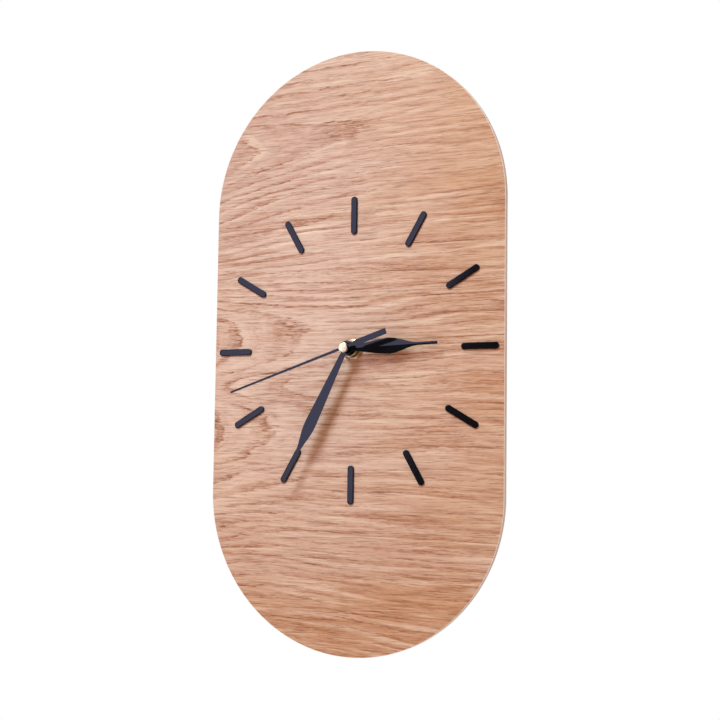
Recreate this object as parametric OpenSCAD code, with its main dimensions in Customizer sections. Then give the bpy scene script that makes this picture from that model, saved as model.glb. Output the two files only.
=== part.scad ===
// Wooden wall clock: a tall round-ended panel with twelve black hour marks, three hands
// and a battery quartz movement behind it, whose hanger carries the whole clock.
// The front faces -Y, +Z is up, and the origin is the axis of the hanger hole at the wall.
// Each sub-part is drawn in clock axes, x to the right, y up the dial and z out of the
// wall, and then stood upright.

/* [Panel] */
// Width of the wooden panel
panel_w = 200; // [160:1:260]
// Height of the wooden panel with its round ends
panel_h = 380; // [300:1:460]
// Thickness of the board between the veneers
core_t = 3; // [2:0.1:4]
// Thickness of the veneer on each face
veneer_t = 0.5; // [0.3:0.1:0.8]

/* [Hour marks] */
// Length of an hour mark
mark_len = 24; // [14:0.5:30]
// Width of an hour mark
mark_w = 4.1; // [2:0.1:8]
// Thickness of an hour mark
mark_t = 1; // [0.8:0.1:3]
// Gap from the outer end of the side marks to the panel's edge
mark_edge_gap = 3.5; // [2:0.5:10]

/* [Hands] */
// Clock angle of the hour hand at rest, in degrees
hour_angle = 87.8; // [0:0.1:360]
// Clock angle of the minute hand at rest, in degrees
minute_angle = 207; // [0:0.1:360]
// Clock angle of the second hand at rest, in degrees
second_angle = 251.5; // [0:0.1:360]
// Length of the hour hand from the axis
hour_hand_len = 59.5; // [40:0.5:66]
// Greatest width of the hour hand
hour_hand_w = 10; // [6:0.1:12]
// Length of the minute hand from the axis
minute_hand_len = 94; // [70:0.5:96]
// Greatest width of the minute hand
minute_hand_w = 7.8; // [5:0.1:10]
// Length of the second hand from the axis
second_hand_len = 84.5; // [60:0.5:94]
// Length of the second hand's tail from the axis
tail_len = 30; // [15:0.5:40]
// Width of the second hand's tail
tail_w = 3.7; // [2:0.1:5]
// Thickness of the sheet that the hands are pressed from
hand_t = 0.4; // [0.3:0.05:0.6]
// Height of the crease along the hour hand
crease_h = 0.9; // [0.4:0.1:1.2]

/* [Movement] */
// Diameter of the battery
battery_d = 14.2; // [13.6:0.1:14.5]
// Length of the battery with its raised contact
battery_len = 50; // [49:0.1:50.5]
// Wall thickness of the movement case
wall_t = 1.2; // [0.9:0.1:1.5]
// Thickness of the case cover
cover_t = 1.4; // [1:0.1:1.6]
// Outer diameter of the threaded bush
bush_d = 8; // [7.6:0.1:9]
// Width of the dial nut across its flats
nut_flats = 12; // [11:0.1:14]
// Thickness of the dial nut
nut_t = 2; // [1.5:0.1:3]
// Thickness of the brass washer under the nut
washer_t = 0.4; // [0.3:0.1:0.8]
// Thickness of the rubber washer behind the panel
gasket_t = 0.8; // [0.5:0.1:1.5]
// Radius of the nail hole in the hanger
hanger_hole_r = 3; // [2:0.1:3.6]
// Thickness of the hanger ear
hanger_t = 2.5; // [1.8:0.1:3]

/* [Gear train] */
// Thickness of a toothed wheel
wheel_t = 0.8; // [0.6:0.05:0.9]
// Distance from the hand axis to the third wheel's axis
third_centres = 8.5; // [8.3:0.1:9]
// Distance from the hand axis to the intermediate wheel's axis
inter_centres = 7; // [6.8:0.1:7.2]
// Distance from the intermediate wheel's axis to the rotor's axis
rotor_centres = 5.4; // [5.2:0.1:5.8]
// Distance from the hand axis to the setting shaft's axis
setting_centres = 9; // [8.8:0.1:9.4]
// Radius of the rotor magnet
magnet_r = 2.5; // [2:0.1:2.7]

/* [Hidden] */
$fn = 48;
// Overrun of a cut past the face it opens
cut = 0.1;
HOURS = [1:12];
function mark_name(hour) = str("hour_mark_", hour < 10 ? "0" : "", hour);

// Movement case
edge_clear = 0.3;
battery_gap_front = 0.2;
battery_gap_back = 0.9;
contact_room = 1.8;
ledge = 0.8;
train_room_below = 10;
axis_to_partition = train_room_below + ledge;
bay_h = battery_d + 2 * edge_clear;
bay_top = -axis_to_partition - wall_t;
case_half_h = axis_to_partition + wall_t + bay_h + wall_t;
case_depth = battery_gap_back + battery_d + battery_gap_front + wall_t;
case_corner_r = 3;
pocket_corner_r = 1;
front_in = case_depth - wall_t;
pocket_top = case_half_h - wall_t;
chamber_top = pocket_top - ledge;
chamber_bottom = -train_room_below;
case_boss_r = 9;
case_boss_h = 0.5;
cover_clear = 0.15;
ear_wall = 4;
ear_r = hanger_hole_r + ear_wall;
ear_rise = 5;
hanger_drop = case_half_h + ear_rise;

// Stack from the movement to the front of the panel
gasket_z = case_depth + case_boss_h;
panel_back_z = gasket_z + gasket_t;
core_z = panel_back_z + veneer_t;
front_veneer_z = core_z + core_t;
face_z = front_veneer_z + veneer_t;

// Bush, washer and nut
run_clear = 0.07;
seat_clear = 0.02;
bush_r = bush_d / 2;
bush_flange_rim = 1.2;
bush_flange_t = 0.8;
hole_clear = 0.3;
panel_hole_r = bush_r + hole_clear;
washer_rim = 1.9;
bush_proud = 0.9;
nut_chamfer_share = 0.3;
nut_crown_share = 1.04;
bush_end_z = face_z + washer_t + nut_t + bush_proud;

// Nested tubes on the hand axis
arbor_r = 0.5;
minute_tube_wall = 0.94;
hour_tube_wall = 0.93;
minute_bore_r = arbor_r + run_clear;
minute_tube_r = minute_bore_r + minute_tube_wall;
hour_bore_r = minute_tube_r + run_clear;
hour_tube_r = hour_bore_r + hour_tube_wall;
bush_bore_r = hour_tube_r + run_clear;

// Places of the hands in front of the panel
collet_gap = 0.5;
collet_len = 2.6;
collet_wall = 1.1;
minute_hand_rise = 3.8;
second_hand_rise = 3.2;
tube_proud = 0.2;
hour_hand_z = bush_end_z + collet_gap + collet_len;
minute_hand_z = hour_hand_z + minute_hand_rise;
second_hand_z = minute_hand_z + second_hand_rise;
hour_tube_end_z = hour_hand_z + tube_proud;
minute_tube_end_z = minute_hand_z + tube_proud;
hour_eye_r = 4.6;
minute_eye_r = 4.4;
minute_collet_len = 1.6;
barrel_wall = 1.1;
barrel_gap = 0.4;
barrel_z = minute_tube_end_z + barrel_gap;
cap_r = 3.15;
cap_t = 1.2;
cap_edge_r = 0.4;
disc_r = 3.4;
needle_root_w = 1.7;
needle_tip_w = 1.3;
// The tail starts as a narrow neck, then widens with sloping shoulders
tail_neck_w = 1.9;
tail_neck_len = 6.2;
tail_shoulder_len = 2.8;
hour_tip_w = 1.9;
minute_tip_w = 2.1;
// Along each hand, as shares of its length: widest place, and where the thin tip starts
hour_belly_share = 0.455;
hour_neck_share = 0.795;
minute_belly_share = 0.56;
minute_neck_share = 0.797;
leaf_steps = 8;
// Width of each hand at the axis, as a share of its greatest width
hour_root_share = 0.17;
minute_root_share = 0.39;
// How round each hand's sides are from the axis to the belly: 0 straight, 1 a full arc
hour_bow_share = 0.5;
minute_bow_share = 0.12;

// Levels of the gear train, counted from the cover
knob_gap = 0.4;
knob_t = 2.4;
knob_r = 5.5;
knob_ribs = 18;
rib_share = 0.12;
well_clear = 0.7;
well_wall = 1;
well_floor_t = 1.2;
well_depth = knob_gap + knob_t + knob_gap;
well_r = knob_r + well_clear;
level_gap = 0.8;
level_pitch = wheel_t + level_gap;
train_back = well_depth + well_floor_t + level_gap;
function level(n) = train_back + (n - 1) * level_pitch;
pinion_t = wheel_t + level_gap / 2;
pivot_r = 0.35;
stem_r = 0.7;
hub_r = 0.75;
pivot_len = 0.8;
boss_r = 1.5;
end_shake = 0.1;
boss_top = train_back - level_gap / 2;
bridge_t = 1.2;
bridge_z = level(3) + wheel_t / 2 - bridge_t / 2;
bridge_top = bridge_z + bridge_t;
front_boss_len = 0.9;

// Numbers of teeth: each wheel follows the pinion that drives it
ROTOR_PINION = 10;
INTER_WHEEL = 50;
INTER_PINION = 10;
SECONDS_WHEEL = 60;
SECONDS_PINION = 8;
THIRD_WHEEL = 60;
THIRD_PINION = 8;
CENTRE_WHEEL = 64;
CANNON_PINION = 12;
MINUTE_WHEEL = 36;
MINUTE_PINION = 10;
HOUR_WHEEL = 40;

// Axes of the train, seen from the front with the hand axis as the middle
third_dir = 150;
inter_dir = -20;
rotor_dir = 24;
setting_dir = 60;
function polar(r, a) = [r * cos(a), r * sin(a), 0];
third_at = polar(third_centres, third_dir);
inter_at = polar(inter_centres, inter_dir);
rotor_at = inter_at + polar(rotor_centres, rotor_dir);
setting_at = polar(setting_centres, setting_dir);

// Tooth form, from root to tip: heights as shares of the tooth size and half widths as
// shares of the tooth pitch
tooth_height_shares = [-1.2, 0, 0.8];
tooth_width_shares = [0.28, 0.21, 0.1];
tooth_tip_share = tooth_height_shares[2];
tooth_root_share = tooth_height_shares[0];
function tooth_size(centres, teeth_a, teeth_b) = 2 * centres / (teeth_a + teeth_b);
function tip_radius(teeth, size) = size * (teeth / 2 + tooth_tip_share);
function root_radius(teeth, size) = size * (teeth / 2 + tooth_root_share);
third_size = tooth_size(third_centres, SECONDS_PINION, THIRD_WHEEL);
third_tip_r = tip_radius(THIRD_WHEEL, third_size);

// Round windows between each wheel's rim and hub
windows = 5;
window_share = 0.8;
rim_share = 1.5;

// Motor
pole_gap = 0.5;
pole_neck = 0.9;
pole_r = magnet_r + pole_gap;
magnet_t = 1.4;
stator_t = 0.8;
stator_z = level(2) + wheel_t / 2 - stator_t / 2;
core_strip_w = 3.2;
core_strip_z = stator_z + stator_t;
arm_w = 3.5;
stator_gap_top = 4;
stator_top = chamber_top - stator_gap_top;
stator_bottom = chamber_bottom + 2 * edge_clear;
post_r = 1;
coil_gap = 0.7;
coil_side_gap = 1.2;
flange_half = 3.8;
bridge_right = rotor_at[0] + pole_r + 2 * post_r;
coil_x = bridge_right + coil_gap + flange_half;
flange_t = 1;
coil_r = 3.3;
bobbin_wall = 0.5;
bobbin_bottom = stator_bottom + arm_w + edge_clear;
bobbin_top = stator_top - arm_w - edge_clear;

// Width of the case, which holds the battery below and the coil beside the train
chamber_half_w = max(battery_len / 2 + contact_room - ledge,
                     coil_x + flange_half + coil_side_gap);
pocket_half_w = chamber_half_w + ledge;
case_half_w = pocket_half_w + wall_t;

// Electronics and battery contacts
board_t = 1;
board_w = 9.4;
board_gap_front = 2.3;
board_gap_top = 3.5;
board_z = front_in - board_gap_front - board_t;
board_left = -chamber_half_w + 2 * edge_clear;
board_bottom = chamber_bottom + 2 * edge_clear;
board_top = chamber_top - board_gap_top;
pad_r = 1.6;
chip_r = 2.8;
chip_h = 0.9;
chip_dome_r = (chip_r * chip_r + chip_h * chip_h) / (2 * chip_h);
crystal_r = 1;
crystal_len = 6;
crystal_gap = 0.05;
strip_t = 0.4;
strip_w = 2;
tab_w = 2.4;
tab_reach = 1.6;
leaf_half = 6;
leaf_w = 6;
leaf_touch = 0.05;
nub_r = 2.7;
nub_h = 1.1;
crimp_r = 0.8;
battery_y = bay_top - edge_clear - battery_d / 2;
battery_z = battery_gap_back + battery_d / 2;
contact_z = board_z + board_t;
slot_clear = 0.1;
negative_tab_x = board_left + edge_clear;
positive_tab_x = negative_tab_x + 2 * tab_w;

// Stands a piece drawn in clock axes upright, with the hand axis as its middle
module upright() {
    rotate([90, 0, 0])
        translate([0, -hanger_drop, 0])
            children();
}

// A flat piece between two distances from the wall
module slab(z, t) {
    translate([0, 0, z])
        linear_extrude(t)
            children();
}

module disc(z, t, r) {
    translate([0, 0, z])
        cylinder(h = t, r = r);
}

module rounded_area(left, right, bottom, top, r) {
    translate([left, bottom + r])
        square([right - left, top - bottom - 2 * r]);
    translate([left + r, bottom])
        square([right - left - 2 * r, top - bottom]);
    for (x = [left + r, right - r], y = [bottom + r, top - r])
        translate([x, y])
            circle(r);
}

module area(left, right, bottom, top) {
    translate([left, bottom])
        square([right - left, top - bottom]);
}

// Panel: two half rounds joined by a straight middle, with the bush's hole
module panel_area() {
    end_r = panel_w / 2;
    straight = panel_h - panel_w;
    difference() {
        union() {
            translate([-end_r, -straight / 2])
                square([panel_w, straight]);
            for (side = [-1, 1])
                translate([0, side * straight / 2])
                    circle(end_r, $fn = 96);
        }
        circle(panel_hole_r);
    }
}

module front_veneer() {
    color("burlywood")
        upright()
            slab(front_veneer_z, veneer_t)
                panel_area();
}

module panel_core() {
    color("rosybrown")
        upright()
            slab(core_z, core_t)
                panel_area();
}

module back_veneer() {
    color("tan")
        upright()
            slab(panel_back_z, veneer_t)
                panel_area();
}

// A flat bar with round ends glued to the face, pointing at the hand axis
module hour_mark(hour) {
    end_r = mark_w / 2;
    outer = panel_w / 2 - mark_edge_gap - end_r;
    inner = outer + mark_w - mark_len;
    color("black")
        upright()
            rotate([0, 0, -hour * 30])
                slab(face_z, mark_t) {
                    area(-end_r, end_r, inner, outer);
                    for (y = [inner, outer])
                        translate([0, y])
                            circle(end_r);
                }
}

// Outline of a leaf-shaped hand that points up: it widens in a flat arc to the belly, swings
// in to the neck and ends in a thin tip
module leaf_area(reach, w, tip_w, root_share, bow_share, belly_share, neck_share) {
    half = w / 2;
    root = half * root_share;
    tip = tip_w / 2;
    belly = reach * belly_share;
    neck = reach * neck_share;
    rise = [for (i = [0:leaf_steps])
        let (u = i / leaf_steps)
        [root + (half - root) * (u + bow_share * (sin(90 * u) - u)), belly * u]];
    fall = [for (i = [1:leaf_steps])
        let (u = i / leaf_steps)
        [tip + (half - tip) * (1 + cos(180 * u)) / 2, belly + (neck - belly) * u]];
    right = concat(rise, fall, [[tip, reach]]);
    left = [for (i = [len(right) - 1:-1:0]) [-right[i][0], right[i][1]]];
    polygon(concat(right, left));
}

// Sheet folded along its middle, with the crease forward, from the axis to the tip
module creased_sheet(len, w) {
    half = w / 2;
    rotate([-90, 0, 0])
        linear_extrude(len)
            polygon([
                [0, -crease_h], [half, 0], [half, hand_t], [0, hand_t - crease_h],
                [-half, hand_t], [-half, 0]
            ]);
}

// Pressed from sheet: creased blade on a flat round eye
module hour_hand() {
    blade_z = hour_hand_z - crease_h / 2;
    color("dimgray")
        upright()
            rotate([0, 0, -hour_angle])
                difference() {
                    union() {
                        intersection() {
                            translate([0, 0, blade_z])
                                creased_sheet(hour_hand_len, hour_hand_w);
                            slab(blade_z - crease_h, 2 * crease_h + hand_t)
                                leaf_area(hour_hand_len, hour_hand_w, hour_tip_w,
                                          hour_root_share, hour_bow_share,
                                          hour_belly_share, hour_neck_share);
                        }
                        disc(hour_hand_z - hand_t, hand_t, hour_eye_r);
                    }
                    disc(hour_hand_z - hand_t - crease_h, 2 * crease_h + hand_t,
                         hour_tube_r + seat_clear);
                }
}

// Collet that grips the hour wheel's tube behind the hour hand's eye
module hour_hand_collet() {
    color("black")
        upright()
            difference() {
                disc(hour_hand_z - collet_len, collet_len - hand_t, hour_tube_r + collet_wall);
                disc(hour_hand_z - collet_len - cut, collet_len + cut, hour_tube_r + seat_clear);
            }
}

// Flat leaf and round eye stamped from sheet
module minute_hand() {
    color("dimgray")
        upright()
            rotate([0, 0, -minute_angle])
                slab(minute_hand_z - hand_t, hand_t)
                    difference() {
                        union() {
                            leaf_area(minute_hand_len, minute_hand_w, minute_tip_w,
                                      minute_root_share, minute_bow_share,
                                      minute_belly_share, minute_neck_share);
                            circle(minute_eye_r);
                        }
                        circle(minute_tube_r + seat_clear);
                    }
}

module minute_hand_collet() {
    color("black")
        upright()
            difference() {
                disc(minute_hand_z - hand_t - minute_collet_len, minute_collet_len,
                     minute_tube_r + collet_wall);
                disc(minute_hand_z - hand_t - minute_collet_len - cut,
                     minute_collet_len + 2 * cut, minute_tube_r + seat_clear);
            }
}

// Needle and square-ended tail cut from one sheet, with a round eye
module second_hand() {
    root = needle_root_w / 2;
    tip = needle_tip_w / 2;
    neck = tail_neck_w / 2;
    tail = tail_w / 2;
    shoulder = tail_neck_len + tail_shoulder_len;
    color("dimgray")
        upright()
            rotate([0, 0, -second_angle])
                difference() {
                    slab(second_hand_z - hand_t, hand_t) {
                        polygon([
                            [root, 0], [tip, second_hand_len],
                            [-tip, second_hand_len], [-root, 0]
                        ]);
                        polygon([
                            [neck, 0], [-neck, 0], [-neck, -tail_neck_len],
                            [-tail, -shoulder], [-tail, -tail_len],
                            [tail, -tail_len], [tail, -shoulder], [neck, -tail_neck_len]
                        ]);
                        circle(disc_r);
                    }
                    disc(second_hand_z - hand_t - cut, hand_t + 2 * cut, arbor_r + seat_clear);
                }
}

// Tube under the second hand that is pushed onto the arbor
module second_hand_barrel() {
    color("black")
        upright()
            difference() {
                disc(barrel_z, second_hand_z - hand_t - barrel_z, arbor_r + barrel_wall);
                disc(barrel_z - cut, second_hand_z - barrel_z, arbor_r + seat_clear);
            }
}

module second_hand_cap() {
    color("goldenrod")
        upright()
            translate([0, 0, second_hand_z])
                rotate_extrude() {
                    area(0, cap_r, 0, cap_t - cap_edge_r);
                    area(0, cap_r - cap_edge_r, 0, cap_t);
                    intersection() {
                        translate([cap_r - cap_edge_r, cap_t - cap_edge_r])
                            circle(cap_edge_r);
                        area(0, cap_r, 0, cap_t);
                    }
                }
}

module brass_washer() {
    color("goldenrod")
        upright()
            difference() {
                disc(face_z, washer_t, bush_r + washer_rim);
                disc(face_z - cut, washer_t + 2 * cut, bush_r + seat_clear);
            }
}

// Hexagon nut with its front corners turned off
module dial_nut() {
    corner_r = nut_flats / 2 / cos(30);
    crown_r = nut_flats / 2 * nut_crown_share;
    chamfer = nut_t * nut_chamfer_share;
    z = face_z + washer_t;
    color("goldenrod")
        upright()
            difference() {
                intersection() {
                    disc_hexagon(z, nut_t, corner_r);
                    union() {
                        disc(z, nut_t - chamfer, corner_r);
                        translate([0, 0, z + nut_t - chamfer])
                            cylinder(h = chamfer, r1 = corner_r, r2 = crown_r);
                    }
                }
                disc(z - cut, nut_t + 2 * cut, bush_r + seat_clear);
            }
}

module disc_hexagon(z, t, r) {
    translate([0, 0, z])
        cylinder(h = t, r = r, $fn = 6);
}

module rubber_washer() {
    color("black")
        upright()
            difference() {
                disc(gasket_z, gasket_t, case_boss_r);
                disc(gasket_z - cut, gasket_t + 2 * cut, bush_r + seat_clear);
            }
}

// Brass tube through the case front, held by a flange inside the case
module threaded_bush() {
    color("goldenrod")
        upright()
            difference() {
                union() {
                    disc(front_in, bush_end_z - front_in, bush_r);
                    disc(front_in - bush_flange_t, bush_flange_t, bush_r + bush_flange_rim);
                }
                disc(front_in - bush_flange_t - cut, bush_end_z - front_in + bush_flange_t + 2 * cut,
                     bush_bore_r);
            }
}

// Moulded case, open at the back: wheel chamber above, battery bay below, hanger on top
module movement_case() {
    color("dimgray")
        upright()
            difference() {
                union() {
                    slab(0, case_depth)
                        rounded_area(-case_half_w, case_half_w, -case_half_h, case_half_h,
                                     case_corner_r);
                    disc(case_depth, case_boss_h, case_boss_r);
                    hanger_ear();
                }
                difference() {
                    slab(cover_t, front_in - cover_t)
                        rounded_area(-chamber_half_w, chamber_half_w, chamber_bottom,
                                     chamber_top, pocket_corner_r);
                    case_posts();
                }
                slab(-cut, cover_t + cut)
                    rounded_area(-pocket_half_w, pocket_half_w, -axis_to_partition,
                                 pocket_top, pocket_corner_r);
                slab(-cut, front_in + cut)
                    area(-pocket_half_w, pocket_half_w, bay_top - bay_h, bay_top);
                contact_slots();
                disc(front_in - cut, wall_t + case_boss_h + 2 * cut, bush_r + seat_clear);
                translate(setting_at)
                    disc(front_in - front_boss_len - cut, front_boss_len + cut,
                         pivot_r + run_clear);
                translate(third_at)
                    disc(front_in - front_boss_len - cut, front_boss_len + cut,
                         pivot_r + run_clear);
                translate([0, hanger_drop, 0])
                    disc(-cut, hanger_t + 2 * cut, hanger_hole_r);
            }
}

module hanger_ear() {
    slab(0, hanger_t) {
        translate([0, hanger_drop])
            circle(ear_r);
        area(-ear_r, ear_r, case_half_h - case_corner_r, hanger_drop);
    }
}

// Bosses and posts that stand on the inside of the case front
module case_posts() {
    for (at = [setting_at, third_at])
        translate(at)
            disc(front_in - front_boss_len, front_boss_len + cut, boss_r);
    for (at = bridge_posts())
        translate(at)
            disc(bridge_top, front_in - bridge_top + cut, post_r);
    for (y = [board_bottom + tab_reach + edge_clear + pad_r, board_top - pad_r])
        translate([board_left + board_w / 2, y, 0])
            disc(contact_z, front_in - contact_z + cut, pad_r);
}

// Slots where the contact tabs pass from the battery bay to the circuit board
module contact_slots() {
    for (x = [negative_tab_x, positive_tab_x])
        slab(contact_z - slot_clear, strip_t + 2 * slot_clear)
            area(x - slot_clear, x + tab_w + slot_clear, bay_top - cut,
                 chamber_bottom + edge_clear);
}

function bridge_posts() = [
    [inter_at[0] - third_tip_r - post_r, chamber_bottom + post_r, 0],
    [bridge_right - post_r, rotor_at[1] + pole_r, 0]
];

// Back cover with the bearing bosses and the sunk well that the setting knob turns in
module case_cover() {
    color("slategray")
        upright()
            difference() {
                union() {
                    slab(0, cover_t)
                        rounded_area(
                            cover_clear - pocket_half_w, pocket_half_w - cover_clear,
                            cover_clear - axis_to_partition, pocket_top - cover_clear,
                            pocket_corner_r);
                    translate(setting_at)
                        disc(0, well_depth + well_floor_t, well_r + well_wall);
                    for (at = [[0, 0, 0], third_at, inter_at, rotor_at])
                        translate(at)
                            disc(0, boss_top, boss_r);
                }
                translate(setting_at) {
                    disc(-cut, well_depth + cut, well_r);
                    disc(well_depth - cut, well_floor_t + 2 * cut, stem_r + run_clear);
                }
                for (at = [third_at, inter_at, rotor_at])
                    translate(at)
                        disc(boss_top - pivot_len - end_shake, pivot_len + end_shake + cut,
                             pivot_r + run_clear);
                disc(boss_top - pivot_len - end_shake, pivot_len + end_shake + cut,
                     arbor_r + run_clear);
            }
}

// Plate that carries the front pivots of the rotor and the intermediate wheel
module wheel_bridge() {
    third_clear_r = third_tip_r + level_gap / 2;
    posts = bridge_posts();
    color("gainsboro")
        upright()
            difference() {
                slab(bridge_z, bridge_t)
                    rounded_area(
                        posts[0][0] - post_r, posts[1][0] + post_r,
                        chamber_bottom + edge_clear, posts[1][1] + post_r, post_r);
                translate(third_at)
                    disc(bridge_z - cut, bridge_t + 2 * cut, third_clear_r);
                disc(bridge_z - cut, bridge_t + 2 * cut, boss_r + level_gap);
                for (at = [inter_at, rotor_at])
                    translate(at)
                        disc(bridge_z - cut, bridge_t + 2 * cut, pivot_r + run_clear);
            }
}

// Toothed outline with one tooth at the direction given
module gear_area(teeth, size, tooth_dir) {
    pitch = 360 / teeth;
    last = len(tooth_height_shares) - 1;
    function corner(i, side, n) =
        let (r = size * (teeth / 2 + tooth_height_shares[n]),
             a = tooth_dir + pitch * (i + side * tooth_width_shares[n]))
        [r * cos(a), r * sin(a)];
    polygon([
        for (i = [0:teeth - 1])
            for (side = [-1, 1], n = side < 0 ? [0:last] : [last:-1:0])
                corner(i, side, n)
    ]);
}

// Pinion with a tooth towards its partner, centred on a wheel's level
module pinion(teeth, size, n, partner_dir) {
    slab(level(n) + wheel_t / 2 - pinion_t / 2, pinion_t)
        gear_area(teeth, size, partner_dir);
}

// Wheel with a gap towards its partner and round windows between rim and hub
module toothed_wheel(teeth, size, n, partner_dir, hub) {
    rim_r = root_radius(teeth, size) - size * rim_share;
    window_r = (rim_r - hub) / 2 * window_share;
    window_at = (rim_r + hub) / 2;
    slab(level(n), wheel_t)
        difference() {
            gear_area(teeth, size, partner_dir + 180 / teeth);
            for (i = [0:windows - 1])
                rotate([0, 0, partner_dir + i * 360 / windows])
                    translate([window_at, 0])
                        circle(window_r);
        }
}

// Disc between two distances from the wall
module shaft(from, to, r) {
    disc(from, to - from, r);
}

// Rotor pinion and its pivots, which the magnet is pressed on
module rotor_pinion() {
    size = tooth_size(rotor_centres, ROTOR_PINION, INTER_WHEEL);
    color("whitesmoke")
        upright()
            translate(rotor_at) {
                pinion(ROTOR_PINION, size, 1, rotor_dir + 180);
                shaft(boss_top - pivot_len, bridge_z + pivot_len, pivot_r);
                shaft(boss_top + end_shake, bridge_z - end_shake, hub_r);
            }
}

module rotor_magnet() {
    color("darkgray")
        upright()
            translate(rotor_at)
                difference() {
                    disc(level(2) + wheel_t / 2 - magnet_t / 2, magnet_t, magnet_r);
                    disc(level(2) - magnet_t, 2 * magnet_t + wheel_t, hub_r + seat_clear);
                }
}

module intermediate_wheel() {
    wheel_size = tooth_size(rotor_centres, ROTOR_PINION, INTER_WHEEL);
    pinion_size = tooth_size(inter_centres, INTER_PINION, SECONDS_WHEEL);
    color("whitesmoke")
        upright()
            translate(inter_at) {
                toothed_wheel(INTER_WHEEL, wheel_size, 1, rotor_dir, 2 * hub_r);
                pinion(INTER_PINION, pinion_size, 2, inter_dir + 180);
                shaft(boss_top - pivot_len, bridge_z + pivot_len, pivot_r);
                shaft(boss_top + end_shake, bridge_z - end_shake, hub_r);
            }
}

// Seconds wheel and pinion moulded on a hub that grips the steel arbor
module seconds_wheel() {
    wheel_size = tooth_size(inter_centres, INTER_PINION, SECONDS_WHEEL);
    pinion_size = tooth_size(third_centres, SECONDS_PINION, THIRD_WHEEL);
    color("whitesmoke")
        upright()
            difference() {
                union() {
                    toothed_wheel(SECONDS_WHEEL, wheel_size, 2, inter_dir, boss_r);
                    pinion(SECONDS_PINION, pinion_size, 3, third_dir);
                    shaft(boss_top + end_shake, level(3), hub_r + arbor_r / 2);
                }
                shaft(boss_top, level(4), arbor_r + seat_clear);
            }
}

module seconds_arbor() {
    color("silver")
        upright()
            shaft(boss_top - pivot_len, second_hand_z - hand_t, arbor_r);
}

module third_wheel() {
    wheel_size = tooth_size(third_centres, SECONDS_PINION, THIRD_WHEEL);
    pinion_size = tooth_size(third_centres, THIRD_PINION, CENTRE_WHEEL);
    color("whitesmoke")
        upright()
            translate(third_at) {
                toothed_wheel(THIRD_WHEEL, wheel_size, 3, third_dir + 180, 2 * hub_r);
                pinion(THIRD_PINION, pinion_size, 4, third_dir + 180);
                shaft(boss_top - pivot_len, front_in - front_boss_len + pivot_len - end_shake,
                      pivot_r);
                shaft(boss_top + end_shake, front_in - front_boss_len - end_shake, hub_r);
            }
}

// Centre wheel, cannon pinion and the tube that carries the minute hand
module centre_wheel() {
    wheel_size = tooth_size(third_centres, THIRD_PINION, CENTRE_WHEEL);
    pinion_size = tooth_size(setting_centres, CANNON_PINION, MINUTE_WHEEL);
    color("whitesmoke")
        upright()
            difference() {
                union() {
                    toothed_wheel(CENTRE_WHEEL, wheel_size, 4, third_dir, boss_r + boss_r / 2);
                    pinion(CANNON_PINION, pinion_size, 5, setting_dir);
                    shaft(level(4) - end_shake, minute_tube_end_z, minute_tube_r);
                }
                shaft(level(4) - level_gap, minute_tube_end_z + cut, minute_bore_r);
            }
}

// Minute wheel on the long shaft that ends in the setting knob
module minute_wheel() {
    wheel_size = tooth_size(setting_centres, CANNON_PINION, MINUTE_WHEEL);
    pinion_size = tooth_size(setting_centres, MINUTE_PINION, HOUR_WHEEL);
    color("whitesmoke")
        upright()
            translate(setting_at) {
                toothed_wheel(MINUTE_WHEEL, wheel_size, 5, setting_dir + 180, boss_r);
                pinion(MINUTE_PINION, pinion_size, 6, setting_dir + 180);
                shaft(knob_gap + knob_t / 2, front_in - front_boss_len - end_shake, stem_r);
                shaft(level(6), front_in - front_boss_len + pivot_len - end_shake, pivot_r);
            }
}

// Hour wheel and its tube, which turns inside the bush and carries the hour hand
module hour_wheel() {
    size = tooth_size(setting_centres, MINUTE_PINION, HOUR_WHEEL);
    color("whitesmoke")
        upright()
            difference() {
                union() {
                    toothed_wheel(HOUR_WHEEL, size, 6, setting_dir, hour_tube_r + hub_r);
                    shaft(level(6), hour_tube_end_z, hour_tube_r);
                }
                shaft(level(6) - cut, hour_tube_end_z + cut, hour_bore_r);
            }
}

// Ribbed knob for a finger tip, sunk in the cover's well
module setting_knob() {
    rib_r = knob_r * rib_share;
    color("dimgray")
        upright()
            translate(setting_at)
                difference() {
                    slab(knob_gap, knob_t)
                        difference() {
                            circle(knob_r);
                            for (i = [0:knob_ribs - 1])
                                rotate([0, 0, i * 360 / knob_ribs])
                                    translate([knob_r + rib_r / 2, 0])
                                        circle(rib_r, $fn = 24);
                        }
                    shaft(knob_gap + knob_t / 2, knob_gap + knob_t + cut, stem_r + seat_clear);
                }
}

// Soft iron plate whose two arms lead the coil's field to the round rotor hole
module stator_plate() {
    limb_left = rotor_at[0] - pole_r - pole_neck;
    limb_right = rotor_at[0] + pole_r + pole_neck;
    arm_right = coil_x + core_strip_w / 2;
    inter_pinion_size = tooth_size(inter_centres, INTER_PINION, SECONDS_WHEEL);
    color("lightsteelblue")
        upright()
            difference() {
                slab(stator_z, stator_t) {
                    area(limb_left, limb_right, stator_bottom, stator_top);
                    area(limb_left, arm_right, stator_top - arm_w, stator_top);
                    area(limb_left, arm_right, stator_bottom, stator_bottom + arm_w);
                }
                translate(rotor_at)
                    disc(stator_z - cut, stator_t + 2 * cut, pole_r);
                translate(inter_at)
                    disc(stator_z - cut, stator_t + 2 * cut,
                         tip_radius(INTER_PINION, inter_pinion_size) + pole_gap);
            }
}

module coil_core() {
    color("lightsteelblue")
        upright()
            slab(core_strip_z, stator_t)
                area(coil_x - core_strip_w / 2, coil_x + core_strip_w / 2,
                     stator_bottom, stator_top);
}

// Places a piece that is turned about the coil, with z along the coil
module along_coil() {
    translate([coil_x, bobbin_bottom, core_strip_z + stator_t / 2])
        rotate([-90, 0, 0])
            children();
}

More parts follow.
